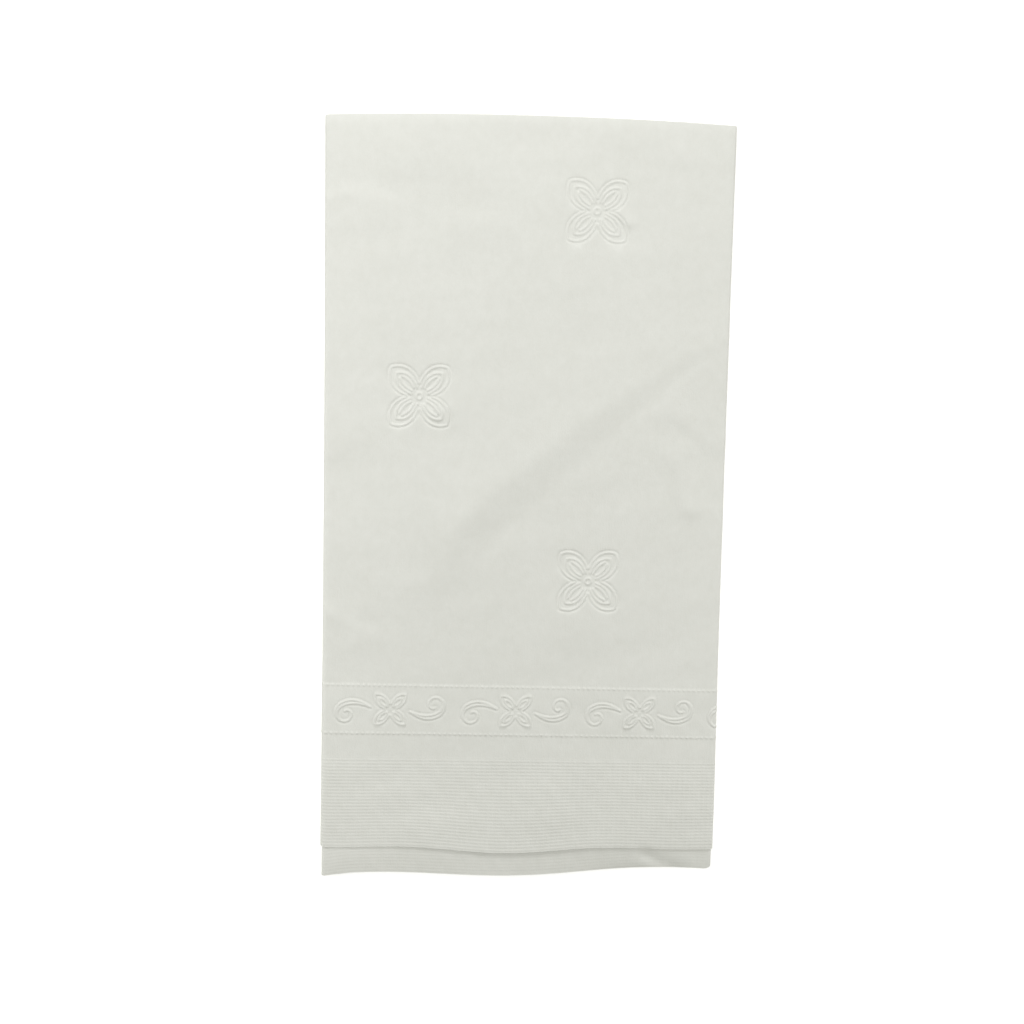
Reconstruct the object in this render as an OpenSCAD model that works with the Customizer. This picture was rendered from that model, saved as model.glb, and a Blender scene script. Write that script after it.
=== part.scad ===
// Embossed paper dinner napkin, folded in half across and then in quarters lengthwise.
// Millimetres. The front looks up (+Z), the folded top edge is at +Y, and the napkin lies on z = 0
// with its origin under the middle of its outline.

/* [Sheet] */
// Width of the folded napkin
folded_w = 102; // [80:1:140]
// Length from the folded top edge to the lowest point of the long half's cut edge
folded_l = 193; // [170:1:230]
// How far the front half's cut edge stops short of the long half's
short_by = 6.5; // [4:0.5:12]
// Thickness of the embossed two-ply paper
paper_t = 0.25; // [0.2:0.01:0.4]
// Air between the two halves of the doubled sheet
half_gap = 0.12; // [0.1:0.01:0.2]
// Air between neighbouring quarters
quarter_gap = 0.16; // [0.1:0.01:0.3]

/* [Cut edges] */
// Height of the slow wave in both cut edges, from crest to trough
edge_wave = 1.5; // [0.4:0.1:2]
// Length of one wave
wave_pitch = 70; // [50:1:100]
// Place of the trough, from the middle of the napkin
wave_trough = -3; // [-20:1:20]
// Slant of the border and of the front half's edge to the folds, in degrees
border_slant = -1.1; // [-1.5:0.1:1.5]
// Radius of the rounded corner at the lower right
corner_r = 2.2; // [1:0.1:4]

/* [Embossing] */
// Height of the raised lines above the paper
relief = 0.14; // [0.08:0.01:0.2]
// Width of the raised lines
line_w = 0.5; // [0.35:0.05:0.6]
// Height of the waffle's ribs above the paper
rib_relief = 0.1; // [0.06:0.01:0.2]

/* [Large flowers] */
// Half of the square that a large flower fills
flower_half = 8.1; // [6:0.1:9]
// Distance across between two columns of large flowers
column_pitch = 43.7; // [36:0.1:60]
// Distance between two flowers of one column, twice the step from column to column
flower_drop = 92.8; // [70:0.2:120]
// Place of the right column, from the middle of the napkin
column_x = 16.3; // [10:0.1:20]
// Height of the lowest large flower above the front half's edge
flower_first = 70.2; // [62:0.2:90]

/* [Border] */
// Height of the waffle band above the front half's edge
waffle_h = 24; // [18:0.2:28]
// Distance between two ribs of the waffle
rib_pitch = 0.87; // [0.8:0.01:1.2]
// Width of a rib
rib_w = 0.45; // [0.3:0.05:0.5]
// Plain strip between the waffle band and the lower row of dots
plain_h = 6.2; // [4:0.2:10]
// Distance between the two rows of dots
dot_rows = 12.4; // [11.6:0.1:16]
// Distance between two dots of a row
dot_pitch = 1.31; // [1.2:0.01:2]
// Length of one dot
dot_l = 0.85; // [0.6:0.05:0.9]

/* [Border ornament] */
// Half of the square that a small flower fills
bud_half = 4.2; // [3.8:0.1:4.4]
// Distance between two small flowers
bud_pitch = 32.1; // [31:0.1:44]
// Place of the middle small flower
bud_x = -2.3; // [-6:0.1:6]
// Distance from a small flower to the middle of the curl on each side
scroll_out = 11.2; // [10.8:0.1:12]
// Outer radius of a curl
curl_r = 3; // [2.6:0.1:3.2]
// Reach of a curl's tail towards the small flower
tail_reach = 6.2; // [5.8:0.1:6.4]

/* [Hidden] */
$fn = 16;

double_t = 2 * paper_t + half_gap;
pitch = double_t + quarter_gap;
total_t = 3 * pitch + double_t;
top_y = folded_l / 2;
crease_y = top_y - double_t / 2;
left_x = -folded_w / 2 + total_t / 2;
right_x = folded_w / 2 - (pitch + double_t) / 2;
long_y = -top_y;
front_y = long_y + short_by + edge_wave / 2;
front_z = total_t;
strip_z = total_t - paper_t - half_gap;
sink = paper_t / 2;
strip_relief = 0.75 * half_gap;
// Steps along a cut edge, along a rib, along the side of a petal, of an inner line, and along a curl,
// and sides of a flower's eye
edge_steps = 10;
rib_steps = 5;
petal_steps = 4;
inner_steps = 3;
curl_steps = 11;
eye_sides = 10;
// Lines are drawn thinner by this much on each side, and the paper spreads them to their width
spread = 0.1;
// Plain paper left beside the folds and the cut edges
margin = 0.5;
// How far a cut reaches past what it cuts
clear = 1;
// How far a fold's outer sheet runs on inside the quarters that it joins
lap = 0.5;

// Height of each half's cut edge at a place across the napkin
function wave(x) = edge_wave / 2 * (1 - cos(360 * (x - wave_trough) / wave_pitch));
function long_edge(x) = long_y + wave(x);
// Height of a line of the waffle, h above the front half's edge: its wave fades out over the band
function waffle_line(x, h) =
    front_y + h + x * tan(border_slant) + (wave(x) - edge_wave / 2) * (1 - h / waffle_h);
function short_edge(x) = waffle_line(x, 0);

// Curves that the embossed lines follow
function mix(a, b, t) = a + (b - a) * t;
function bezier(p, t) =
    p[0] * pow(1 - t, 3) + p[1] * 3 * t * pow(1 - t, 2) + p[2] * 3 * t * t * (1 - t) + p[3] * pow(t, 3);
function curve(p, n) = [for (i = [0:n]) bezier(p, i / n)];
function polar(r, a) = r * [cos(a), sin(a)];
function backwards(p) = [for (i = [len(p) - 1:-1:0]) p[i]];
// A petal's side mirrored over the diagonal, and the whole petal as one line through its tip
function across_diagonal(side) = [for (i = [len(side) - 1:-1:0]) [side[i][1], side[i][0]]];
function both_sides(side) = concat(side, across_diagonal([for (i = [0:len(side) - 2]) side[i]]));
function heading(p, i) =
    let (d = p[min(i + 1, len(p) - 1)] - p[max(i - 1, 0)]) d / norm(d);
function beside(p, i, w) = let (d = heading(p, i)) p[i] + [-d[1], d[0]] * w;
// The outline of a line of width w along p, which narrows to half of w at its two ends
function line_outline(p, w) =
    let (n = len(p) - 1, half = [for (i = [0:n]) w / 2 * min(1, 0.5 + 5 * min(i, n - i) / n)])
    concat([for (i = [0:n]) beside(p, i, half[i])], backwards([for (i = [0:n]) beside(p, i, -half[i])]));

// The flat paper between the two side folds, with the waved cut edge of the short or the long half
module sheet_outline(short) {
    polygon(concat(
        [[right_x, crease_y], [left_x, crease_y]],
        [for (i = [0:edge_steps])
            let (x = mix(left_x, right_x, i / edge_steps)) [x, short ? short_edge(x) : long_edge(x)]]
    ));
}

// Section of the crease at the top, where the front half turns into the long half
module crease_section() {
    intersection() {
        difference() {
            circle(r = double_t / 2);
            circle(r = half_gap / 2);
        }
        translate([0, -double_t])
            square([double_t, 2 * double_t]);
    }
}

// One quarter of the napkin: two sheets joined by the crease at the top
module quarter(level, short_on_top) {
    translate([0, 0, level * pitch]) {
        linear_extrude(paper_t)
            sheet_outline(!short_on_top);
        translate([0, 0, paper_t + half_gap])
            linear_extrude(paper_t)
                sheet_outline(short_on_top);
        translate([left_x, crease_y, double_t / 2])
            rotate([90, 0, 90])
                linear_extrude(right_x - left_x)
                    crease_section();
    }
}

// Section of one sheet of a lengthwise fold, from its cut edge up to the crease
module leg(x, y) {
    polygon([[x, y], [x + paper_t, y], [x + paper_t, crease_y], [x, crease_y]]);
}

// A lengthwise fold: the doubled sheet turned half round, to the left with side 1, to the right with -1
module side_fold(x, z, r, side, short_outside) {
    inner_y = short_outside ? long_edge(x) : short_edge(x);
    outer_y = short_outside ? short_edge(x) : long_edge(x);
    outer_r = r + double_t / 2 - paper_t;
    translate([x, 0, z])
        rotate([-90, 0, 0])
            rotate([0, 0, 90 * side]) {
                rotate_extrude(angle = 180) {
                    leg(r - double_t / 2, inner_y);
                    leg(outer_r, outer_y);
                    translate([r, crease_y])
                        rotate([0, 0, 90])
                            crease_section();
                }
                for (end = [0, 1])
                    mirror([end, 0, 0])
                        rotate([90, 0, 0])
                            linear_extrude(lap)
                                leg(outer_r, outer_y + lap);
            }
}

// The whole folded sheet, from its loose edge at the bottom to its loose edge inside
module folded_sheet() {
    mid_z = total_t / 2;
    quarter(0, false);
    quarter(1, true);
    quarter(2, false);
    quarter(3, true);
    side_fold(left_x, mid_z, 1.5 * pitch, 1, true);
    side_fold(left_x, mid_z, pitch / 2, 1, false);
    side_fold(right_x, mid_z + pitch, pitch / 2, -1, true);
}

// What is cut away to round the corner at the lower right
module corner_cut() {
    x = folded_w / 2;
    y = long_edge(x);
    translate([0, 0, -clear])
        linear_extrude(total_t + 2 * clear)
            difference() {
                translate([x - corner_r, y - corner_r])
                    square(2 * corner_r);
                translate([x - corner_r, y + corner_r])
                    circle(r = corner_r, $fn = 4 * $fn);
            }
}

// A raised line along the points p
module line(p) {
    polygon(line_outline(p, line_w - 2 * spread));
}

// Raises flat shapes above the paper whose face is at height z
module raised(z, height) {
    translate([0, 0, z - sink])
        linear_extrude(sink + height)
            offset(delta = spread)
                children();
}

// The four petals of a flower, each drawn by the lines that lie on it
module petals() {
    for (turn = [0:90:270])
        rotate(turn)
            children();
}

// A large flower of half size s: outer and inner petal lines, two veins and an eye
module large_flower(s) {
    vein = curve([[0.17, 0.25], [0.25, 0.42], [0.37, 0.53], [0.53, 0.6]] * s, inner_steps);
    petals() {
        line(both_sides(curve([[0.03, 0.4], [0.18, 0.85], [0.55, 1], [0.87, 0.87]] * s, petal_steps)));
        line(both_sides(curve([[0.07, 0.26], [0.2, 0.6], [0.42, 0.76], [0.7, 0.7]] * s, inner_steps)));
        line(vein);
        line(across_diagonal(vein));
    }
    difference() {
        circle(r = 2 * line_w - spread, $fn = eye_sides);
        circle(r = line_w + spread, $fn = eye_sides);
    }
}

// A small flower of half size s: ogee petals with an oval in each
module small_flower(s) {
    petals() {
        line(both_sides(curve([[0.06, 0.36], [0.2, 0.62], [0.4, 0.98], [0.92, 0.92]] * s, inner_steps)));
        line(both_sides(curve([[0.18, 0.18], [0.2, 0.44], [0.42, 0.68], [0.68, 0.68]] * s, inner_steps)));
    }
}

// A scroll around the middle of its curl, with its tail to the right. The curl starts at the angle first
// and turns through the angle turn while its radius shrinks to the share that end_share names. A second
// line runs inside the tail and meets the curl over the angle merge.
module scroll() {
    first = 120;
    turn = 350;
    merge = 110;
    end_share = 0.22;
    inner_share = 0.72;
    merge_share = 0.95;
    radius = function (a) curl_r * mix(1, end_share, (a - first) / turn);
    start = polar(curl_r, first);
    inner_start = inner_share * start;
    tip = [tail_reach, 0.58 * curl_r];
    outer_tail = curve([tip, [0.5 * tail_reach, 1.3 * curl_r],
                        start + polar(0.9 * curl_r, first - 90), start], petal_steps);
    inner_tail = curve([tip, [0.55 * tail_reach, 0.95 * curl_r],
                        inner_start + polar(0.8 * curl_r, first - 90), inner_start], petal_steps);
    line(concat(outer_tail, [for (i = [1:curl_steps])
        let (a = first + turn * i / curl_steps) polar(radius(a), a)]));
    line(concat(inner_tail, [for (i = [1:inner_steps])
        let (t = i / inner_steps, a = first + merge * t)
            polar(radius(a) * mix(inner_share, merge_share, t), a)]));
}

// Everything that follows lies in the slanted frame of the border, over the front half's edge
module border_frame() {
    translate([0, front_y])
        rotate(border_slant)
            children();
}

module dots(y) {
    count = floor((folded_w / 2 - margin) / dot_pitch);
    for (i = [-count:count])
        translate([i * dot_pitch, y])
            square([dot_l - 2 * spread, line_w - 2 * spread], center = true);
}

module ornament(y) {
    count = ceil(folded_w / bud_pitch);
    for (i = [-count:count])
        translate([bud_x + i * bud_pitch, y]) {
            small_flower(bud_half);
            for (turn = [0, 180])
                rotate(turn)
                    translate([-scroll_out, -0.4 * curl_r])
                        scroll();
        }
}

// Places along a rib, from fold to fold
rib_xs = [for (i = [0:rib_steps]) mix(left_x + margin, right_x - margin, i / rib_steps)];

module front_ribs() {
    for (h = [margin:rib_pitch:waffle_h - rib_w])
        polygon(concat(
            [for (x = rib_xs) [x, waffle_line(x, h + spread)]],
            backwards([for (x = rib_xs) [x, waffle_line(x, h + rib_w - spread)]])
        ));
}

// The ribs of the long half, from its cut edge to just under the front half
module strip_ribs() {
    for (h = [margin:rib_pitch:short_by + edge_wave / 2])
        polygon(concat(
            [for (x = rib_xs) [x, long_edge(x) + h + spread]],
            backwards([for (x = rib_xs) [x, long_edge(x) + h + rib_w - spread]])
        ));
}

// The flat part of the front half, between its two folds
module front_region() {
    translate([left_x, long_y])
        square([right_x - left_x, folded_l]);
}

// Whether a large flower at this place stays clear of the folds and the border
function flower_fits(x, y) =
    x - flower_half > left_x && x + flower_half < right_x && y + flower_half < crease_y
    && y - flower_half > front_y + waffle_h + plain_h + dot_rows + margin;

module large_flowers() {
    columns = ceil(folded_w / column_pitch);
    rows = ceil(folded_l / flower_drop);
    for (c = [-columns:columns], r = [-rows:rows]) {
        x = column_x + c * column_pitch;
        y = front_y + flower_first + flower_drop * (r + (c % 2 == 0 ? 0 : 0.5));
        if (flower_fits(x, y))
            translate([x, y])
                large_flower(flower_half);
    }
}

// The raised pattern on the front and on the strip below it
module embossing() {
    dots_y = waffle_h + plain_h;
    raised(front_z, relief) {
        large_flowers();
        intersection() {
            front_region();
            border_frame() {
                dots(dots_y);
                dots(dots_y + dot_rows);
                ornament(dots_y + dot_rows / 2);
            }
        }
    }
    raised(front_z, rib_relief)
        front_ribs();
    raised(strip_z, strip_relief)
        strip_ribs();
}

module napkin() {
    color("ivory")
        difference() {
            union() {
                folded_sheet();
                embossing();
            }
            corner_cut();
        }
}

napkin();
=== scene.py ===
# %% [markdown]
# An embossed paper dinner napkin. The real one is a single sheet of two-ply paper, cut to size, pressed
# between rollers that leave a waffle edge, a scroll border and scattered flowers in it, folded in half
# across and then in quarters lengthwise. It is made here in the same order: a flat sheet is cut, its
# fine parts are divided, the pattern is pressed in, and the sheet is folded.
#
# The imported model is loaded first, because it says where the folded napkin lies and how large it is.

# %% Load the frame
import math

import bmesh
import bpy
import numpy as np
from mathutils import Matrix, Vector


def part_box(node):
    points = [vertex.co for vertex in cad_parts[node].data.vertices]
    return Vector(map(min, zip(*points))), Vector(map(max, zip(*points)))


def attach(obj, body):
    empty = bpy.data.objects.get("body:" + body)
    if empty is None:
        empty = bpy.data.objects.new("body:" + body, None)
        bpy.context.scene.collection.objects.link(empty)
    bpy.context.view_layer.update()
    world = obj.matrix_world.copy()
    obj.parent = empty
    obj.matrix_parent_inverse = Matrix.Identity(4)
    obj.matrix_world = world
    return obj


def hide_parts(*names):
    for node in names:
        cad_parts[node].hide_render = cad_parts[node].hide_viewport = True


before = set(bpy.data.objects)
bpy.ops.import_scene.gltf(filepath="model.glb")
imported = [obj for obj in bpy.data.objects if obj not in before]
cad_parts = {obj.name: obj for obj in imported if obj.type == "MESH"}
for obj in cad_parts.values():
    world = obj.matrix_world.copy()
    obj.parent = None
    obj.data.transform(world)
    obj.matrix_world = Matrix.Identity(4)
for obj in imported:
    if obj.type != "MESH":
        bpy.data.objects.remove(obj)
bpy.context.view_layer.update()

MM = 0.001
low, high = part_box("napkin")
folded_w = (high.x - low.x) / MM
folded_l = (high.y - low.y) / MM
print(f"the folded napkin is {folded_w:.1f} x {folded_l:.1f} mm")

# %% [markdown]
# The paper and its folds. All lengths are in millimetres until the last step. The doubled sheet is two
# papers with a little air between them, and four of those lie on each other. From these few values come
# the height of the pile, the radius of every fold and the place of the crease along the top. The flat
# sheet's size could be typed in too, but added up along the folds it always fits the folded napkin.

# %% Paper and folds
paper_t = 0.25
half_gap = 0.12
quarter_gap = 0.16
short_by = 6.5
edge_wave = 1.5

double_t = 2 * paper_t + half_gap
pitch = double_t + quarter_gap
total_t = 3 * pitch + double_t
left_x = -folded_w / 2 + total_t / 2
right_x = folded_w / 2 - (pitch + double_t) / 2
quarter_w = right_x - left_x
crease_r = (half_gap + paper_t) / 2
crease_half = crease_r * math.pi / 2
crease_y = folded_l / 2 - double_t / 2
long_y = -folded_l / 2 + edge_wave / 2
front_y = long_y + short_by
short_reach = crease_y - front_y + crease_half
long_reach = crease_y - long_y + crease_half

# The course of the doubled sheet, from its loose edge at the bottom to the one inside:
# each stretch has a length, and a fold also has a radius and a sense of turning
wrap_r = 1.5 * pitch
fold_r = pitch / 2
STRAIGHT = (quarter_w, None, 0)
WRAP = (math.pi * wrap_r, wrap_r, -1)
course = [
    STRAIGHT, WRAP,
    STRAIGHT, (math.pi * fold_r, fold_r, -1),
    STRAIGHT, (math.pi * fold_r, fold_r, 1),
    STRAIGHT,
]
starts = [sum(length for length, _, _ in course[:i]) for i in range(len(course) + 1)]
front_start = starts[2]
cut_w = starts[-1]
cut_l = short_reach + long_reach
print(f"the sheet is cut to {cut_w:.1f} x {cut_l:.1f} mm, and the pile is {total_t:.2f} mm high")

# %% [markdown]
# A paper fold could be bent by a cloth simulation or an armature, but layers a little over a tenth of a
# millimetre apart would easily be pushed into each other. Here folding is a formula, so the sheet never
# tears, and every layer has its own place.
# Each point of the flat sheet has a place across, a place along and a height over the middle of the
# paper. The place across follows the course of the doubled sheet, which runs straight in the quarters
# and turns half round in the folds. The place along runs over the crease at the top, from the long half
# into the short one.

# %% Fold formulas
def run_across(s):
    """Where the doubled sheet's middle lies (x, z) at a distance s from its start, and which way is out."""
    x, z, heading = right_x, double_t / 2, math.pi
    place, outward = np.zeros((len(s), 2)), np.zeros((len(s), 2))
    for start, (length, radius, sense) in zip(starts, course):
        here = s >= start - 1e-6
        gone = np.clip(s[here] - start, 0, length)
        if radius is None:
            way = np.array([math.cos(heading), math.sin(heading)])
            place[here] = np.array([x, z]) + gone[:, None] * way
            outward[here] = (-way[1], way[0])
            x, z = np.array([x, z]) + length * way
        else:
            turned = heading + sense * gone / radius
            side = np.stack([-np.sin(turned), np.cos(turned)], 1)
            centre = np.array([x, z]) + sense * radius * np.array([-math.sin(heading), math.cos(heading)])
            place[here] = centre - sense * radius * side
            outward[here] = side
            heading += sense * math.pi
            x, z = centre - sense * radius * np.array([-math.sin(heading), math.cos(heading)])
    return place, outward


def run_along(r):
    """Place y and offset w of the paper's middle at r from the crease, and which way is out."""
    angle = np.clip(r / crease_r, -math.pi / 2, math.pi / 2)
    beyond = np.maximum(np.abs(r) - crease_half, 0)
    y = crease_y + crease_r * np.cos(angle) - beyond
    return y, crease_r * np.sin(angle), np.cos(angle), np.sin(angle)


sheet_ends = run_across(np.array([0, cut_w]))[0]
print("the doubled sheet runs from x, z", sheet_ends[0].round(2), "to", sheet_ends[1].round(2))

# %% [markdown]
# The sheet is cut from the roll as a plain rectangle. A grid would do for a surface, but paper has two
# faces and a cut rim, so the sheet starts as a thin box and is a closed form from the first moment.
# Planes cut it at every fold and on a coarse lattice. The lattice is a round number of waffle cells wide
# and high, so that halving it again and again lands on the waffle's own rows and columns.

# %% Cut the sheet
rib_pitch = 0.87
dot_pitch = 1.31
halvings = 5
fine_u = dot_pitch / 6
fine_v = rib_pitch / 4
coarse_u = fine_u * 2 ** halvings
coarse_v = fine_v * 2 ** halvings
wrap_steps = 12
fold_steps = 6
crease_steps = 6
cut_tolerance = 1e-5

sheet = bmesh.new()
bmesh.ops.create_cube(
    sheet,
    size=1,
    matrix=Matrix.Translation((cut_w / 2, (short_reach - long_reach) / 2, 0))
    @ Matrix.Diagonal((cut_w, cut_l, paper_t, 1)),
)


def cut(point, normal):
    parts = sheet.verts[:] + sheet.edges[:] + sheet.faces[:]
    bmesh.ops.bisect_plane(sheet, geom=parts, dist=cut_tolerance, plane_co=point, plane_no=normal)


# The lattice of each quarter is centred where the folded napkin's middle, x = 0, comes to lie
leftward = (0, 4)
columns = []
for i, (length, radius, _) in enumerate(course):
    if radius is None:
        middle = starts[i] + (right_x if i in leftward else -left_x)
        reach = int(quarter_w / coarse_u / 2)
        columns += [middle + k * coarse_u for k in range(-reach, reach + 1)]
    else:
        steps = wrap_steps if radius == wrap_r else fold_steps
        columns += [starts[i] + length * k / steps for k in range(steps + 1)]
for place in columns:
    cut((place, 0, 0), (1, 0, 0))

rows = [crease_half * (2 * k / crease_steps - 1) for k in range(crease_steps + 1)]
rows += [short_reach - k * coarse_v for k in range(1, int((short_reach - crease_half) / coarse_v) + 1)]
rows += [k * coarse_v - long_reach for k in range(1, int((long_reach - crease_half) / coarse_v) + 1)]
for place in rows:
    cut((0, place, 0), (0, 1, 0))
print(f"{len(columns)} columns and {len(rows)} rows make {len(sheet.faces)} faces")

# %% [markdown]
# Engraved rollers press the pattern, so it repeats in fixed steps, and a column of flowers to the left is
# shifted by half a step. Places are given as the distance x from the middle and the height h over the
# front half's cut edge. Typed-in places for each flower would work too, but they would hide that order.
# Two soft curves are made here as well, because every shape further down fades in or out along them.

# %% Places of the pattern
def ease(t):
    """A soft step from 0 to 1."""
    t = np.clip(t, 0, 1)
    return t * t * (3 - 2 * t)


def hump(distance, width):
    """A soft hill: 1 in its middle and about a third at its width."""
    return np.exp(-((distance / width) ** 2))


waffle_h = 24
plain_h = 6.2
dot_rows = 12.4
lower_dots = waffle_h + plain_h
upper_dots = lower_dots + dot_rows
column_pitch = 43.7
flower_drop = 92.8
column_x = 16.3
flower_first = 70.2
flower_half = 8.1
flowers = [
    (column_x - column_pitch * step % (2 * column_pitch), flower_first + flower_drop * step / 2)
    for step in range(3)
]
slant = math.radians(-1.1)


def lean(x, h):
    """How far the slanting edge moves a point along y, at x across and h over the short half's edge."""
    return x * math.tan(slant) * (1 - ease((h - upper_dots) / (short_reach - upper_dots)))


print("large flowers at", [(round(x, 1), round(front_y + h, 1)) for x, h in flowers])

# %% [markdown]
# Handling left soft creases in the top layers. They could be sculpted by hand, but as lines in a table
# they can be read and moved. Most are a crest: the paper rises slowly to a line and falls quickly beyond
# it. The long one across the middle is a step, a slope of even steepness between two sharp lines, that
# grows wider towards the lower left, with a low swell along its foot. All of them are low, and they were
# placed beside the photograph.

# %% Soft creases
STEP = [
    # x and y of the slope's middle, and half its width
    (62, 48, 1.1), (53, 43.5, 1.3), (41.7, 38, 1.5), (32.9, 31.5, 2), (25.6, 25.8, 2.7), (14.6, 17.2, 3.9),
    (5, 9, 4.4), (-6.7, -0.5, 4.6), (-14, -9, 5), (-17.5, -20, 5.5), (-18, -33, 6),
]
CREASES = [
    # crest, height, width above or left of it, width below or right of it
    ([(30, 24), (36, 24.4), (42, 20.8), (50, 16), (60, 11)], 0.24, 6, 2),
    ([(36, 18), (38, 10), (41, 1), (42, -4)], 0.3, 5, 1.8),
    ([(38, 0), (43, -1.6), (50, -2), (62, -2)], 0.28, 3, 9),
    ([(62, 46), (51, 42), (44, 38.5), (36, 32)], 0.14, 1.8, 6),
    ([(-62, 74), (-51, 75.8), (-45, 77), (-37, 75.2), (-30, 73)], 0.24, 2, 7),
    ([(-42, 81), (-30, 83), (-20, 83.5), (-6, 84)], 0.3, 7, 3),
    ([(-30, 71.5), (-20, 71), (-12, 70), (-3, 67), (8, 64)], 0.2, 2.2, 8),
    ([(-62, 89), (-45, 90), (-30, 92), (-12, 97)], 0.35, 8, 6),
    ([(8, 95), (20, 92.5), (30, 91), (44, 88)], 0.3, 6, 3.5),
    ([(-62, -22), (-51, -26.5), (-45, -30), (-36, -36)], 0.26, 2, 7),
    ([(-62, 30), (-50, 22), (-42, 12)], 0.16, 3, 7),
    ([(20, 75), (26, 69.6)], 0.3, 2, 1.3),
    ([(30, -90), (35, -92.4), (41, -95.6), (45, -98.5)], -0.55, 2, 1.6),
]
MOUNDS = [
    # x, y, height and radius
    (-22, 23.4, 0.4, 3),
    (-46, -60, 0.3, 18),
    (44, -70, 0.3, 16),
    (-25, -84, 0.18, 9),
    (8, -80, 0.16, 8),
    (-24.4, -54, 0.18, 3.2),
    (8.2, -54, 0.16, 3),
    (15.9, -66.5, 0.36, 6),
    (13.7, -30, 0.36, 7),
]
print(f"1 long step, {len(CREASES)} creases and {len(MOUNDS)} mounds")

# %% [markdown]
# Paper that was pressed damp is never quite flat. Its fine unevenness could be a noise texture, but a
# bump doesn't change the outline or the shadows. It is a sum of random waves in the mesh, in all
# directions, the short ones lower than the long. The seed is fixed, so every run gives the same sheet.

# %% Unevenness
cockle_base = 0.012
cockle_slope = 0.0006
random = np.random.default_rng(7)
COCKLE = []
for length in (34, 27, 21, 17, 13, 10, 8, 6.5, 5.5, 4.5):
    angle, phase = random.uniform(0, 2 * math.pi, 2)
    number = 2 * math.pi / length
    wave_h = cockle_base + cockle_slope * length
    COCKLE.append((number * math.cos(angle), number * math.sin(angle), phase, wave_h))
print(f"{len(COCKLE)} waves, {COCKLE[-1][3]:.3f} to {COCKLE[0][3]:.3f} mm high")

# %% [markdown]
# One function adds up the step, the creases, the mounds and the waves. It says how far the top of the
# pile is lifted at a place. It could lift the top layer alone, but that would leave it hollow. Later it
# lifts the whole pile in proportion, which keeps each point of a layer above the layer below. The inner
# layers' faces are large, so around a small dent they can still cut a little into their neighbours.

# %% Lift of the pile
step_steepness = 0.115
step_fade = 10
step_taper = 4.6
foot_height = 0.13
foot_away = 2.2
foot_above = 1.5
foot_below = 10
crease_taper = 4


def along_line(line, points):
    """Distance of each point from a line, its side (above or left is positive) and its share along."""
    chord = line[-1] - line[0]
    normal = np.array([-chord[1], chord[0]]) / np.linalg.norm(chord)
    normal *= 1 if normal[1] > 0 else -1
    nearest = np.full(len(points), 1e3)
    side, share = np.zeros(len(points)), np.zeros(len(points))
    for k, (start, end) in enumerate(zip(line[:-1], line[1:])):
        step = end - start
        along = np.clip((points - start) @ step / (step @ step), 0, 1)
        away = points - start - along[:, None] * step
        gap = np.linalg.norm(away, axis=1)
        closer = gap < nearest
        nearest[closer] = gap[closer]
        side[closer] = np.sign(away @ normal)[closer]
        share[closer] = ((k + along) / (len(line) - 1))[closer]
    return nearest, side, share


def lift(x, y):
    """How far the top of the pile is lifted at a place."""
    points = np.stack([x, y], 1)
    table = np.array(STEP, float)
    nearest, side, share = along_line(table[:, :2], points)
    over = nearest * side
    half = np.interp(share, np.linspace(0, 1, len(table)), table[:, 2])
    slope = np.clip((over + half) / (2 * half), 0, 1)
    fade = np.exp(-np.maximum(over - half, 0) / step_fade)
    taper = ease((1 - share) * step_taper)
    total = step_steepness * 2 * half * slope * fade * taper
    foot = over + half + foot_away
    total += foot_height * taper * np.where(foot > 0, hump(foot, foot_above), hump(foot, foot_below))
    for line, height, above, below in CREASES:
        nearest, side, share = along_line(np.array(line, float), points)
        taper = ease(np.minimum(share, 1 - share) * crease_taper)
        total += height * taper * np.where(side > 0, hump(nearest, above), hump(nearest, below))
    for mx, my, height, radius in MOUNDS:
        total += height * hump(np.hypot(x - mx, y - my), radius)
    for wave_x, wave_y, phase, height in COCKLE:
        total += height * (1 + np.sin(wave_x * x + wave_y * y + phase))
    return total


print(f"the middle of the pile is lifted by {lift(np.zeros(1), np.zeros(1))[0]:.2f} mm")

# %% [markdown]
# Only the places that carry fine embossing need fine faces: dividing the whole sheet as finely would
# take millions. A zone says how small the faces are inside it, and around it they may grow with the
# distance. Every face is halved until it is small enough, and a face that a finer neighbour gave extra
# corners is cut into triangles.

# %% Fine zones
visible_a = left_x - WRAP[0] / 2
visible_b = right_x + math.pi * fold_r / 2
across = (visible_a, visible_b)
border_h = (lower_dots + upper_dots) / 2
ornament_reach = 3.9
dots_reach = 0.8
crease_reach = 1
sharp_crease = 2.1
strip_reach = 2
hem_reach = 0.5
growth = 1.1

# A zone is from and to across, from and to in height, and the width and height of its faces
front_zones = [
    (*across, 0, waffle_h, 2 * fine_u, fine_v),
    (*across, border_h - ornament_reach, border_h + ornament_reach, fine_u, fine_v),
    (*across, lower_dots - dots_reach, lower_dots + dots_reach, fine_u, fine_v),
    (*across, upper_dots - dots_reach, upper_dots + dots_reach, fine_u, fine_v),
    (*across, upper_dots, short_reach - crease_half, 8 * fine_u, 8 * fine_v),
]
for x, h in flowers:
    h -= lean(x, h)
    front_zones.append((x - flower_half, x + flower_half, h - flower_half, h + flower_half, fine_u, fine_v))
for line, _, above, below in CREASES:
    if min(above, below) < sharp_crease:
        for (x0, y0), (x1, y1) in zip(line[:-1], line[1:]):
            x0, x1 = sorted((x0, x1))
            h0, h1 = sorted((y0 - front_y, y1 - front_y))
            zone = (x0 - crease_reach, x1 + crease_reach, h0 - crease_reach, h1 + crease_reach)
            front_zones.append((*zone, 4 * fine_u, 4 * fine_v))
strip_zones = [(*across, 0, short_by + strip_reach, 4 * fine_u, fine_v)]
hem_zones = [(0, cut_w, 0, hem_reach, 8 * fine_u, 16 * fine_v)]


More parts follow.
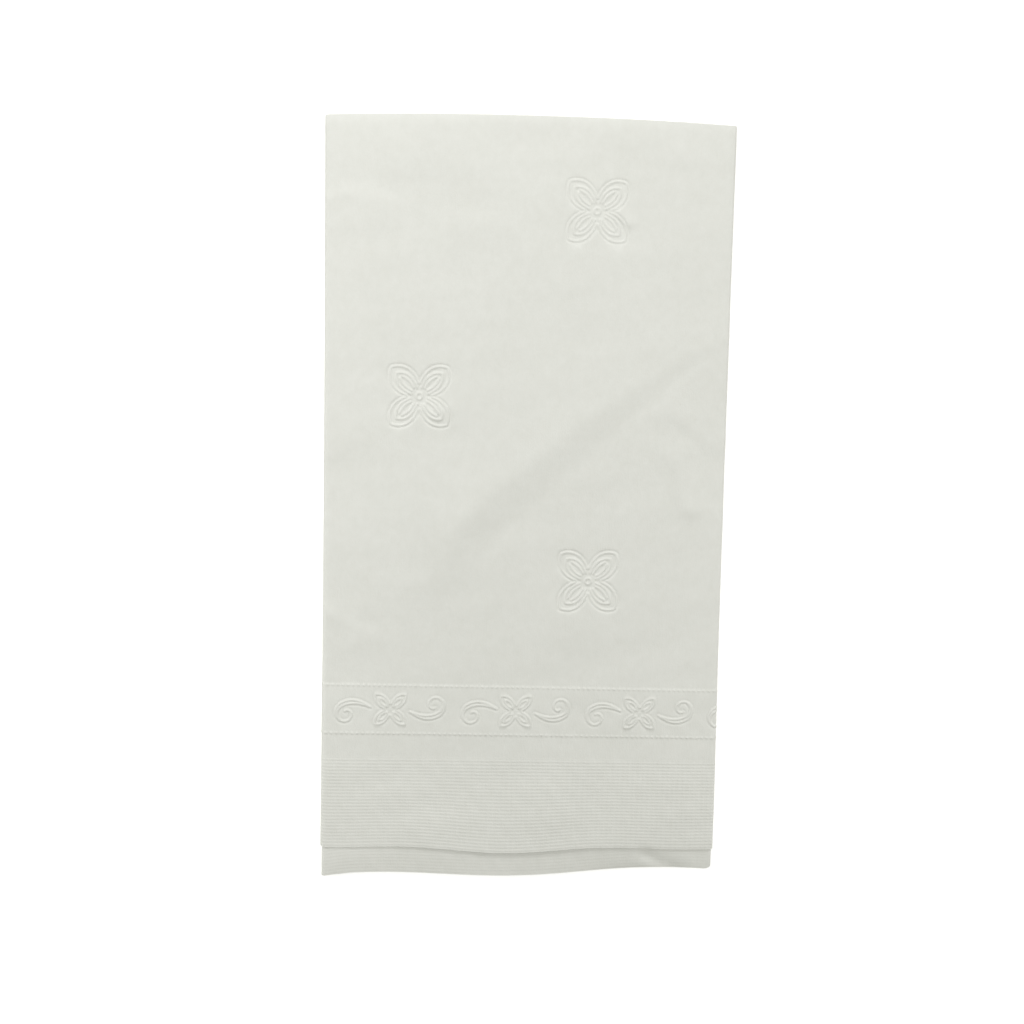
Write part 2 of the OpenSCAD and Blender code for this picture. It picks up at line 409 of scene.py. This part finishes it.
def wanted(centre):
    """How wide and how high a face may be at this place of the flat sheet."""
    a = centre.x - front_start + left_x
    short = centre.y > 0
    h = short_reach - centre.y if short else long_reach + centre.y
    zones = hem_zones
    if short and centre.z > 0:
        zones = front_zones
    elif not short and centre.z < 0:
        zones = strip_zones
    width, height = coarse_u, coarse_v
    for a0, a1, h0, h1, cell_u, cell_v in zones:
        away = max(a0 - a, a - a1, h0 - h, h - h1, 0) * growth
        width = min(width, max(cell_u, away))
        height = min(height, max(cell_v, away * fine_v / fine_u))
    return width, height


print(len(front_zones), "zones on the front")

# %% [markdown]
# Now the faces are halved, the widest first. Subdivision Surface would divide every face alike. Here an
# edge is split only where it is longer than the round's limit and its face should be smaller, so a face
# can be divided across and not along.

# %% Halve the faces
near_limit = 1.1
over_limit = 1.3
square_on = 1e-4
rim_z = paper_t / 4
for halving in range(1, halvings + 1):
    limit_u, limit_v = coarse_u / 2 ** halving, coarse_v / 2 ** halving
    chosen = set()
    for face in sheet.faces:
        centre = face.calc_center_median()
        if abs(centre.z) < rim_z:
            continue
        width, height = wanted(centre)
        for edge in face.edges:
            step = edge.verts[1].co - edge.verts[0].co
            too_wide = abs(step.y) < square_on and abs(step.x) > over_limit * limit_u
            too_high = abs(step.x) < square_on and abs(step.y) > over_limit * limit_v
            if (too_wide and width < near_limit * limit_u) or (too_high and height < near_limit * limit_v):
                chosen.add(edge)
    bmesh.ops.subdivide_edges(sheet, edges=list(chosen), cuts=1, use_grid_fill=True)
    print(f"halving {halving}: {len(sheet.faces)} faces")

bmesh.ops.triangulate(sheet, faces=[face for face in sheet.faces if len(face.verts) > 4])
print(f"with the many-cornered faces cut: {len(sheet.faces)} faces")

# %% [markdown]
# The rim is where the knife went through. Its two edges stay crisp, and everything else is shaded
# smoothly. An angle could pick the crisp edges later, but the sharpest embossing would come near it. So
# this is settled while the sheet is flat, because there a rim face is easy to tell: its middle lies in
# the middle of the paper. The flat place of every point is noted down as well.

# %% Crisp rim
for face in sheet.faces:
    face.smooth = True
for edge in sheet.edges:
    on_rim = [abs(face.calc_center_median().z) < rim_z for face in edge.link_faces]
    if any(on_rim) and not all(on_rim):
        edge.smooth = False

# s runs across the sheet, r along it from the crease, and e is the height over the paper's middle;
# a is the place across as seen on the front, and the two h count from each half's cut edge
side_margin = 0.1
flat = np.array([vert.co for vert in sheet.verts])
s, r, e = flat.T
a = s - front_start + left_x
short_h = short_reach - r
long_h = long_reach + r
seen_across = (a > visible_a - side_margin) & (a < visible_b + side_margin)
on_front = (r > 0) & (e > 0) & seen_across
on_strip = (r < 0) & (e < 0) & seen_across
print(f"{len(flat)} points, {on_front.sum()} on the front and {on_strip.sum()} on the strip")

# %% [markdown]
# The real sheet was cut and folded a little out of true. The front half's edge and the border slant by
# about a degree, both cut edges run in slow waves, and the lower right corner is worn round. The crease
# bows up by about a millimetre in its middle, and the sides draw in by a quarter of one. A lattice
# modifier could bend the outline, but it can't move one half's cut edge and leave the other's. These are
# shifts worked out for each point, and those of the cut edges fade out away from them.

# %% Out of true
corner_r = 2.2
short_wave_pitch = 90
short_wave_x = -4
short_wave_heights = (0.61, 0.43)
long_wave_pitch = 70
long_wave_x = -2
left_drop = 0.5
left_drop_x = -51
left_drop_w = 4
right_rise = 0.3
right_rise_x = 47
right_rise_w = 6
bow_from_y = 40
bow_middle = 0.36
bow_tilt = 0.0059
bow_curve = 0.00044
side_bow = 0.005
side_middle_y = 5
side_half = 95


def short_edge_wave(x):
    turn = 2 * math.pi * (x - short_wave_x) / short_wave_pitch
    return -short_wave_heights[0] * np.cos(turn) - short_wave_heights[1] * np.cos(2 * turn)


def long_edge_wave(x):
    corner = np.clip(x - (folded_w / 2 - corner_r), 0, corner_r)
    rounded = corner_r - np.sqrt(corner_r ** 2 - corner ** 2)
    wave = -edge_wave / 2 * np.cos(2 * math.pi * (x - long_wave_x) / long_wave_pitch)
    left = left_drop * hump(x - left_drop_x, left_drop_w)
    right = right_rise * hump(x - right_rise_x, right_rise_w)
    return wave - left + right + rounded


def out_of_true(x, r):
    """How far a point moves along y because of the slant and the waves of its half's cut edge."""
    over_short, over_long = short_reach - r, long_reach + r
    short = lean(x, over_short) + short_edge_wave(x) * (1 - ease(over_short / waffle_h))
    long = long_edge_wave(x) * (1 - ease(over_long / waffle_h))
    return np.where(r > 0, short, long)


def bowed(x, y):
    """The crease bows up in its middle, and the sides draw in."""
    rise = ease((y - bow_from_y) / (crease_y - bow_from_y))
    new_y = y + rise * (bow_middle + bow_tilt * x - bow_curve * x ** 2)
    new_x = x * (1 + side_bow * (((y - side_middle_y) / side_half) ** 2 - 0.5))
    return new_x, new_y


print(f"the front half's edge slants by {-math.degrees(slant):.1f} degrees")

# %% [markdown]
# Embossed lines are ridges with a shallow groove along each side, where the paper was drawn in. A bump
# from a picture would look flat from the side, so they are pressed into the mesh. The height of a ridge
# depends only on the distance to its line, so every ornament is a set of lines: a flower's petals are
# curves between its middle and its corner, and because all eight half petals are alike, a point is first
# moved into the one that is drawn.

# %% Lines of the pattern
relief = 0.165
ridge_w = 0.26
groove_share = 0.6
groove_at = 2.2
petal_steps = 14


def bezier(points, steps):
    t = np.linspace(0, 1, steps + 1)[:, None]
    p = np.array(points, float)
    return (1 - t) ** 3 * p[0] + 3 * t * (1 - t) ** 2 * p[1] + 3 * t * t * (1 - t) * p[2] + t ** 3 * p[3]


def distance_to(line, points):
    """The distance of each point from a line of short straight steps."""
    nearest = np.full(len(points), 1e3)
    for start, end in zip(line[:-1], line[1:]):
        step = end - start
        along = np.clip((points - start) @ step / (step @ step), 0, 1)
        nearest = np.minimum(nearest, np.linalg.norm(points - start - along[:, None] * step, axis=1))
    return nearest


def ridge(distance, width=ridge_w):
    """A ridge of height 1 with a groove beside it, at a distance from its line."""
    return hump(distance, width) - groove_share * hump(distance - groove_at * width, width)


def half_petal_lines(half, curves):
    return [bezier(np.array(points) * half, petal_steps) for points in curves]


def into_half_petal(points):
    size = np.abs(points)
    return np.stack([size.min(1), size.max(1)], 1)


print(f"a line is a ridge about {2 * ridge_w:.1f} mm wide and at most {relief} mm high")

# %% [markdown]
# A large flower has four petals, each with two lines inside its outline, and a small round eye. The
# rollers press its petals into a shallow bed, so the paper steps down at their outline. The three
# flowers weren't pressed equally hard.

# %% Large flower
flower_pressing = (0.95, 0.92, 0.76)
eye_r = 0.75
flower_depth = 0.12
flower_wall = 0.5
wall_out = 0.35

large_petal = half_petal_lines(flower_half, [
    [[0.03, 0.4], [0.18, 0.85], [0.55, 1], [0.87, 0.87]],
    [[0.07, 0.26], [0.2, 0.6], [0.42, 0.76], [0.7, 0.7]],
    [[0.17, 0.25], [0.25, 0.42], [0.37, 0.53], [0.53, 0.6]],
])


def large_flower(points):
    """Ridges of a large flower, and the shallow bed that it is pressed into, both without a size."""
    half_petal = into_half_petal(points)
    outer, *others = [distance_to(line, half_petal) for line in large_petal]
    eye = np.abs(np.linalg.norm(points, axis=1) - eye_r)
    lines = ridge(np.min([outer, eye] + others, axis=0))
    outline_x, outline_y = large_petal[0].T
    outside = (half_petal[:, 1] > np.interp(half_petal[:, 0], outline_x, outline_y)) | (
        half_petal[:, 0] > outline_x[-1]
    )
    bed = np.where(outside, 1 - ease((outer - wall_out) / flower_wall), 1)
    return lines, bed


print(f"a large flower is {2 * large_petal[0][-1, 0]:.1f} mm across its petals")

# %% [markdown]
# The border between the two rows of dots repeats every 32 mm: a small flower with a scroll on each
# side. The two scrolls are the same one turned half round about the flower, so a point on the right is
# turned over to the left, where the scroll is drawn. Its curl is a spiral, and its tail is a curve that
# leaves the spiral smoothly. Curve objects laid on the paper would be separate pieces. As lines with a
# distance, they are pressed in like the flowers.

# %% Border ornament
border_relief = 0.14
ornament_w = 0.23
bud_half = 4.2
bud_pitch = 32.1
bud_x = -2.3
scroll_out = 11.2
scroll_drop = 0.4
curl_r = 3
tail_reach = 6.2
tail_rise = 0.58
curl_start = math.radians(120)
curl_degrees = 350
merge_degrees = 110
curl_end_share = 0.22
inner_share = 0.72
inner_closing = 0.23
tail_steps = 16
curl_points = 36
merge_points = 12

bud_petal = half_petal_lines(bud_half, [
    [[0.06, 0.36], [0.2, 0.62], [0.4, 0.98], [0.92, 0.92]],
    [[0.18, 0.18], [0.2, 0.44], [0.42, 0.68], [0.68, 0.68]],
])


def polar(radius, angle):
    return np.stack([radius * np.cos(angle), radius * np.sin(angle)], -1)


def scroll_lines():
    """The outer line of a scroll, with its curl, and the inner line, which closes on the curl."""
    share = np.linspace(0, 1, curl_points)
    angle = curl_start + math.radians(curl_degrees) * share
    curl = polar(curl_r * (1 - (1 - curl_end_share) * share), angle)
    tip = np.array([tail_reach, tail_rise * curl_r])
    start, way = curl[0], polar(1, curl_start - math.pi / 2)
    # Each tail is one curve from the tip to the curl. Its two inner points bend it over the curl.
    outer_bend = (0.5 * tail_reach, 1.3 * curl_r)
    outer = bezier([tip, outer_bend, start + 0.9 * curl_r * way, start], tail_steps)
    inner_start = inner_share * start
    inner_bend = (0.55 * tail_reach, 0.95 * curl_r)
    inner = bezier([tip, inner_bend, inner_start + 0.8 * curl_r * way, inner_start], tail_steps)
    merge = np.linspace(0, 1, merge_points)
    merge_angle = curl_start + math.radians(merge_degrees) * merge
    merge_r = curl_r * (1 - (1 - curl_end_share) * merge_degrees / curl_degrees * merge)
    closing = polar(merge_r * (inner_share + inner_closing * merge), merge_angle)
    centre = np.array([-scroll_out, -scroll_drop * curl_r])
    return [centre + np.vstack([outer, curl[1:]]), centre + np.vstack([inner, closing[1:]])]


scrolls = scroll_lines()


def border_ornament(x, y):
    """Ridges of the ornament at x along the border and y from its middle."""
    local = np.stack([(x - bud_x + bud_pitch / 2) % bud_pitch - bud_pitch / 2, y], 1)
    turned = np.where(local[:, :1] > 0, -local, local)
    near_bud = np.min([distance_to(line, into_half_petal(local)) for line in bud_petal], axis=0)
    near_scroll = np.min([distance_to(line, turned) for line in scrolls], axis=0)
    return ridge(np.minimum(near_bud, near_scroll), ornament_w)


print(f"a scroll is drawn with {sum(len(line) - 1 for line in scrolls)} short steps")

# %% [markdown]
# Each row of dots is one low ridge that sinks almost to the paper between two dots. The waffle is a stack
# of ribs that are pinched at every column, more deeply towards the right, where the rollers pressed
# harder. The border itself stands a twentieth of a millimetre proud of the paper on both sides of it.
# Thousands of small pads could be laid out one by one, but as waves they follow from two pitches.

# %% Dots and waffle
rib_relief = 0.06
rib_gain = 0.7
rib_first = 0.75 * rib_pitch
rib_sharpness = 1.3
strip_relief = 0.04
column_share = 0.4
column_gain = 0.55
harder_from = -51
harder_over = 80
dot_height = 1.25
dot_sink = 1.15
border_raise = 0.05
border_soft = 1.4
border_margin = 3
flower_margin = 2


def pinch(x, share):
    """1 between two columns, less by the share on a column."""
    wave = 0.5 + 0.5 * np.cos(2 * math.pi * x / dot_pitch)
    return 1 - share * wave ** 2


def dots(x, y):
    wave = 0.5 + 0.5 * np.cos(2 * math.pi * x / dot_pitch)
    return ridge(y) * (dot_height - dot_sink * wave)


def ribs(h):
    wave = 0.5 + 0.5 * np.cos(2 * math.pi * (h - rib_first) / rib_pitch)
    return wave ** rib_sharpness


def front_pattern(a, h, y):
    """Height of everything that is pressed into the front, at a across, h over its edge and y."""
    over_edge = h + a * math.tan(slant)
    bx = a * math.cos(slant) + over_edge * math.sin(slant)
    by = over_edge * math.cos(slant) - a * math.sin(slant)
    height = np.zeros(len(a))

    low = h < waffle_h
    rightward = ease((a[low] - harder_from) / harder_over)
    depth = rib_relief * (1 + rib_gain * rightward)
    height[low] = depth * ribs(h[low]) * pinch(a[low], column_share + column_gain * rightward)

    border = (by > lower_dots - border_margin) & (by < upper_dots + border_margin)
    x, y_up = bx[border], by[border]
    inside = ease((y_up - lower_dots) / border_soft + 0.5) * ease((upper_dots - y_up) / border_soft + 0.5)
    lines = np.maximum(dots(x, y_up - lower_dots), dots(x, y_up - upper_dots))
    ornament = border_ornament(x, y_up - border_h)
    pressed = np.where(np.abs(lines) > np.abs(ornament), lines, ornament)
    height[border] += border_raise * inside + border_relief * pressed

    points = np.stack([a, y - front_y], 1)
    for flower, pressing in zip(flowers, flower_pressing):
        local = points - flower
        near = np.abs(local).max(1) < flower_half + flower_margin
        lines, bed = large_flower(local[near])
        height[near] += pressing * relief * lines - flower_depth * bed
    return height


print(f"the waffle has {int(waffle_h / rib_pitch)} ribs, and {int(folded_w / dot_pitch)} columns cross them")

# %% [markdown]
# Now the sheet is pressed and folded. The embossing goes into the height over the paper's middle, and
# the fold formulas carry it round with the paper. The front half's edge lifts a little off the long half
# in its middle and lies pressed down at its sides. The pile is thinner along its lower edge, most of all
# on the right, because there the layers end in cut edges, with no fold to hold them apart.

# %% Press and fold
loose_x = 3
loose_w = 26
edge_lift_middle = 0.22
edge_press = 0.1
edge_lift_fade = 5
strip_margin = 3
strip_pinch = 0.5
fold_margin = 0.5
droop_all = 0.12
droop_right = 0.4
droop_x = 32
droop_w = 14
droop_fade = 4

place, outward = run_across(s)
y, w, out_y, out_w = run_along(r)
y = y + out_of_true(place[:, 0], r)

height = np.zeros(len(flat))
height[on_front] = front_pattern(a[on_front], short_h[on_front], y[on_front])
strip = on_strip & (long_h < short_by + strip_margin)
height[strip] = -strip_relief * ribs(long_h[strip]) * pinch(a[strip], strip_pinch)

on_top = (s > front_start - WRAP[0] / 2) & (s < starts[3] + fold_margin)
loose = hump(place[:, 0] - loose_x, loose_w)
edge_lift = edge_lift_middle * loose - edge_press * (1 - loose)
edge_lift *= np.exp(-np.maximum(short_h, 0) / edge_lift_fade)
w = w + (e + height) * out_w + np.where((r > 0) & on_top, edge_lift, 0)
x = place[:, 0] + w * outward[:, 0]
z = place[:, 1] + w * outward[:, 1]
y = y + (e + height) * out_y

thinner = droop_all + droop_right * hump(x - droop_x, droop_w)
droop = 1 - thinner * np.exp(-np.maximum(y - long_y, 0) / droop_fade)
z = z * (1 + lift(x, y) / total_t) * droop
x, y = bowed(x, y)
for vert, co in zip(sheet.verts, np.stack([x, y, z], 1) * MM):
    vert.co = co
# The fold formulas mirror the sheet. This call makes its faces agree, but on a form this thin and this
# often folded they settle pointing inwards, so the signed volume is below zero. It is a known fault.
bmesh.ops.recalc_face_normals(sheet, faces=sheet.faces[:])

mesh = bpy.data.meshes.new("paper_napkin")
sheet.to_mesh(mesh)
sheet.free()
napkin = bpy.data.objects.new("paper_napkin", mesh)
bpy.context.scene.collection.objects.link(napkin)
triangles = sum(len(face.vertices) - 2 for face in mesh.polygons)
print(f"the napkin has {triangles} triangles and is {z.max():.2f} mm high")

# %% [markdown]
# Shader maths reads best as plain arithmetic. It could be wired node by node, but a sum of four noises
# would then take a page. This class wraps one output of a node, and an expression on it adds the Math
# nodes. One method makes every other node: it takes the node's kind, its settings and what goes into its
# sockets.

# %% Shader arithmetic
class Signal:
    """One output of a shader node."""

    def __init__(self, socket):
        self.socket = socket

    @staticmethod
    def make(tree, kind, settings, inputs, output=0):
        """Make a node and return the named output of it, or the node's name where it has no outputs."""
        node = tree.nodes.new(kind)
        for name, value in settings.items():
            setattr(node, name, value)
        for name, value in inputs.items():
            if isinstance(value, Signal):
                tree.links.new(value.socket, node.inputs[name])
            else:
                node.inputs[name].default_value = value
        return Signal(node.outputs[output]) if node.outputs else node.name

    def math(self, operation, first, second):
        tree = self.socket.id_data
        return self.make(tree, "ShaderNodeMath", {"operation": operation}, {0: first, 1: second})

    def __add__(self, other):
        return self.math("ADD", self, other)

    __radd__ = __add__

    def __sub__(self, other):
        return self.math("SUBTRACT", self, other)

    def __rsub__(self, other):
        return self.math("SUBTRACT", other, self)

    def __mul__(self, other):
        return self.math("MULTIPLY", self, other)

    __rmul__ = __mul__


def new_material(name):
    material = bpy.data.materials.new(name)
    material.use_nodes = True
    material.node_tree.nodes.clear()
    return material, material.node_tree


material, tree = new_material("embossed_paper")
print(f"{material.name} starts with {len(tree.nodes)} nodes")

# %% [markdown]
# Embossed two-ply paper. It is white with a touch of warm grey, quite matt, and slightly cloudy where
# the pulp is thicker, with a fine mottle over the clouds. Close up it is made of short fibres, and it
# has a fine crepe that runs along the sheet from the drying roller. A scanned picture of paper would
# show all this, but it would repeat and stretch. The fibres and the crepe are far finer than the
# embossing, so they are a bump, and the colour barely changes with them. The pattern is read in
# millimetres of the object's own coordinates.

# %% Paper
thin_paper = (0.765, 0.77, 0.73, 1)
thick_paper = (0.93, 0.935, 0.915, 1)
grain_height = 0.08
object_place = Signal.make(tree, "ShaderNodeTexCoord", {}, {}, "Object")


def noise(scale, detail, roughness=0.5):
    """Cloudy noise with its own scale in each direction, in grains per millimetre."""
    grains = tuple(value / MM for value in scale)
    factors = {0: object_place, 1: grains}
    spread = Signal.make(tree, "ShaderNodeVectorMath", {"operation": "MULTIPLY"}, factors)
    return Signal.make(
        tree, "ShaderNodeTexNoise", {},
        {"Vector": spread, "Scale": 1.0, "Detail": detail, "Roughness": roughness},
    )


clouds = noise((0.06, 0.06, 0.06), 4.0)
mottle = noise((0.34, 0.3, 0.34), 4.0, 0.62)
pulp = noise((0.9, 0.5, 0.9), 3.0)
fibres = noise((3.2, 2.2, 3.2), 2.0, 0.6)
crepe = noise((3.0, 0.35, 3.0), 2.0)

tint = 0.25 * clouds + 0.4 * mottle + 0.2 * pulp + 0.15 * fibres
colour = Signal.make(
    tree, "ShaderNodeMix", {"data_type": "RGBA"},
    {0: tint, 6: thin_paper, 7: thick_paper}, 2,
)
roughness = 0.82 + 0.16 * fibres
surface = 0.5 * fibres + 0.35 * crepe + 0.5 * pulp
bump = Signal.make(
    tree, "ShaderNodeBump", {},
    {"Strength": 0.9, "Distance": grain_height * MM, "Height": surface},
)
paper = Signal.make(
    tree, "ShaderNodeBsdfPrincipled", {},
    {"Base Color": colour, "Roughness": roughness, "Normal": bump, "Specular IOR Level": 0.25},
)
Signal.make(tree, "ShaderNodeOutputMaterial", {}, {"Surface": paper})
mesh.materials.append(material)

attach(napkin, "root")
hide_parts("napkin")
cut_w * MM
cut_l * MM
print(f"the napkin is finished in {material.name}, with {len(tree.nodes)} nodes")

# %% [markdown]
# The napkin lies on a plain white table. The table is a pale matt floor that takes the napkin's shadow,
# and what the camera sees of it is lifted to white, a little less right beside the napkin, so that the
# shadow stays there. Stronger lamps would whiten the table too, but they would bleach the paper.

# %% White table
table_reach = 2
table_drop = 0.02
glow_from = 0.12
glow_to = 0.3
glow_near = 0.62

table = bmesh.new()
table_place = Matrix.Translation((0, 0, -table_drop * MM))
bmesh.ops.create_grid(table, x_segments=1, y_segments=1, size=table_reach, matrix=table_place)
table_mesh = bpy.data.meshes.new("white_table")
table.to_mesh(table_mesh)
table.free()
floor = bpy.data.objects.new("white_table", table_mesh)
bpy.context.scene.collection.objects.link(floor)


def seen_rays(tree):
    """1 for the rays that should meet a white background, 0 for the light that falls on things."""
    rays = [
        Signal.make(tree, "ShaderNodeLightPath", {}, {}, f"Is {kind} Ray")
        for kind in ("Camera", "Glossy", "Transmission")
    ]
    total = rays[0] + rays[1] + rays[2]
    return total.math("MINIMUM", total, 1.0)


floor_material, floor_tree = new_material("white_table")
seen = seen_rays(floor_tree)
floor_place = Signal.make(floor_tree, "ShaderNodeTexCoord", {}, {}, "Object")
away = Signal.make(floor_tree, "ShaderNodeVectorMath", {"operation": "LENGTH"}, {0: floor_place}, "Value")
near_share = Signal.make(
    floor_tree, "ShaderNodeMapRange", {},
    {"Value": away, "From Min": glow_from, "From Max": glow_to, "To Min": glow_near, "To Max": 1.0},
)
glow_colour = Signal.make(
    floor_tree, "ShaderNodeMix", {"data_type": "RGBA"},
    {0: seen * near_share, 6: (0, 0, 0, 1), 7: (1, 1, 1, 1)}, 2,
)
glow = Signal.make(floor_tree, "ShaderNodeEmission", {}, {"Color": glow_colour, "Strength": 1.0})
matt = Signal.make(
    floor_tree, "ShaderNodeBsdfPrincipled", {},
    {"Base Color": (0.8, 0.8, 0.78, 1), "Roughness": 0.9, "Specular IOR Level": 0.0},
)
both = Signal.make(floor_tree, "ShaderNodeAddShader", {}, {0: glow, 1: matt})
Signal.make(floor_tree, "ShaderNodeOutputMaterial", {}, {"Surface": both})
table_mesh.materials.append(floor_material)
print(f"the table reaches {table_reach} m to each side")

# %% [markdown]
# The room gives a weak, even light from everywhere, a trace yellow as in the photograph. A picture of a
# room would light it too, but a plain colour is enough for matt paper. A ray from the camera meets plain
# white in its place, so the view is white beyond the table as well.

# %% Room light
room_colour = (1.0, 1.0, 0.87, 1)
room_strength = 0.28

world = bpy.data.worlds.new("studio")
bpy.context.scene.world = world
world.use_nodes = True
sky_tree = world.node_tree
sky_tree.nodes.clear()
room_light = Signal.make(
    sky_tree, "ShaderNodeBackground", {}, {"Color": room_colour, "Strength": room_strength}
)
white = Signal.make(sky_tree, "ShaderNodeBackground", {}, {"Color": (1, 1, 1, 1), "Strength": 1.0})
sky = Signal.make(sky_tree, "ShaderNodeMixShader", {}, {0: seen_rays(sky_tree), 1: room_light, 2: white})
Signal.make(sky_tree, "ShaderNodeOutputWorld", {}, {"Surface": sky})
print(f"the room light has a strength of {room_strength}")

# %% [markdown]
# Soft lamps stand around the table: the strongest beyond the top edge, because every ridge in the
# photograph is bright above and dark below, one along the left side and a lower one along the right,
# where the photograph's fold is brightest. A sun lamp would be simpler, but its shadows are too hard.

# %% Lamps
lamp_colour = (1.0, 1.0, 0.995)
LAMPS = [
    # name, place, size and power, in metres and watts
    ("top_lamp", (-0.05, 0.42, 0.24), 0.18, 1.2),
    ("left_lamp", (-0.28, -0.03, 0.2), 0.16, 0.4),
    ("right_lamp", (0.3, -0.05, 0.14), 0.16, 0.36),
]
for name, place, size, power in LAMPS:
    light = bpy.data.lights.new(name, "AREA")
    light.shape = "SQUARE"
    light.size = size
    light.energy = power
    light.color = lamp_colour
    lamp = bpy.data.objects.new(name, light)
    lamp.location = place
    lamp.rotation_euler = (-lamp.location).to_track_quat("-Z", "Y").to_euler()
    lamp.visible_camera = False
    bpy.context.scene.collection.objects.link(lamp)
print(len(LAMPS), "soft lamps")

# %% [markdown]
# The camera stands almost straight above the napkin, 378 mm over the table, and leans a few degrees
# towards its lower right. It could be aimed by eye. Its place and lean were worked out from the napkin's
# outline in the photograph, which narrows a little towards the bottom right, so that every part of the
# pattern can be compared in its place.

# %% Camera
sensor_w = 36
focal_share = 1500 / 1024
camera_place = (-39.53 * MM, 37.80 * MM, 378.42 * MM)
camera_turn = (-6.048, -5.357, 1.131)

camera = bpy.data.objects.new("camera", bpy.data.cameras.new("camera"))
camera.data.sensor_width = sensor_w
camera.data.lens = sensor_w * focal_share
camera.data.clip_start = 0.01
camera.location = camera_place
camera.rotation_mode = "XYZ"
camera.rotation_euler = [math.radians(angle) for angle in camera_turn]
bpy.context.scene.collection.objects.link(camera)
bpy.context.scene.camera = camera
bpy.context.scene.view_settings.view_transform = "Standard"
print(f"the camera has a {camera.data.lens:.1f} mm lens")
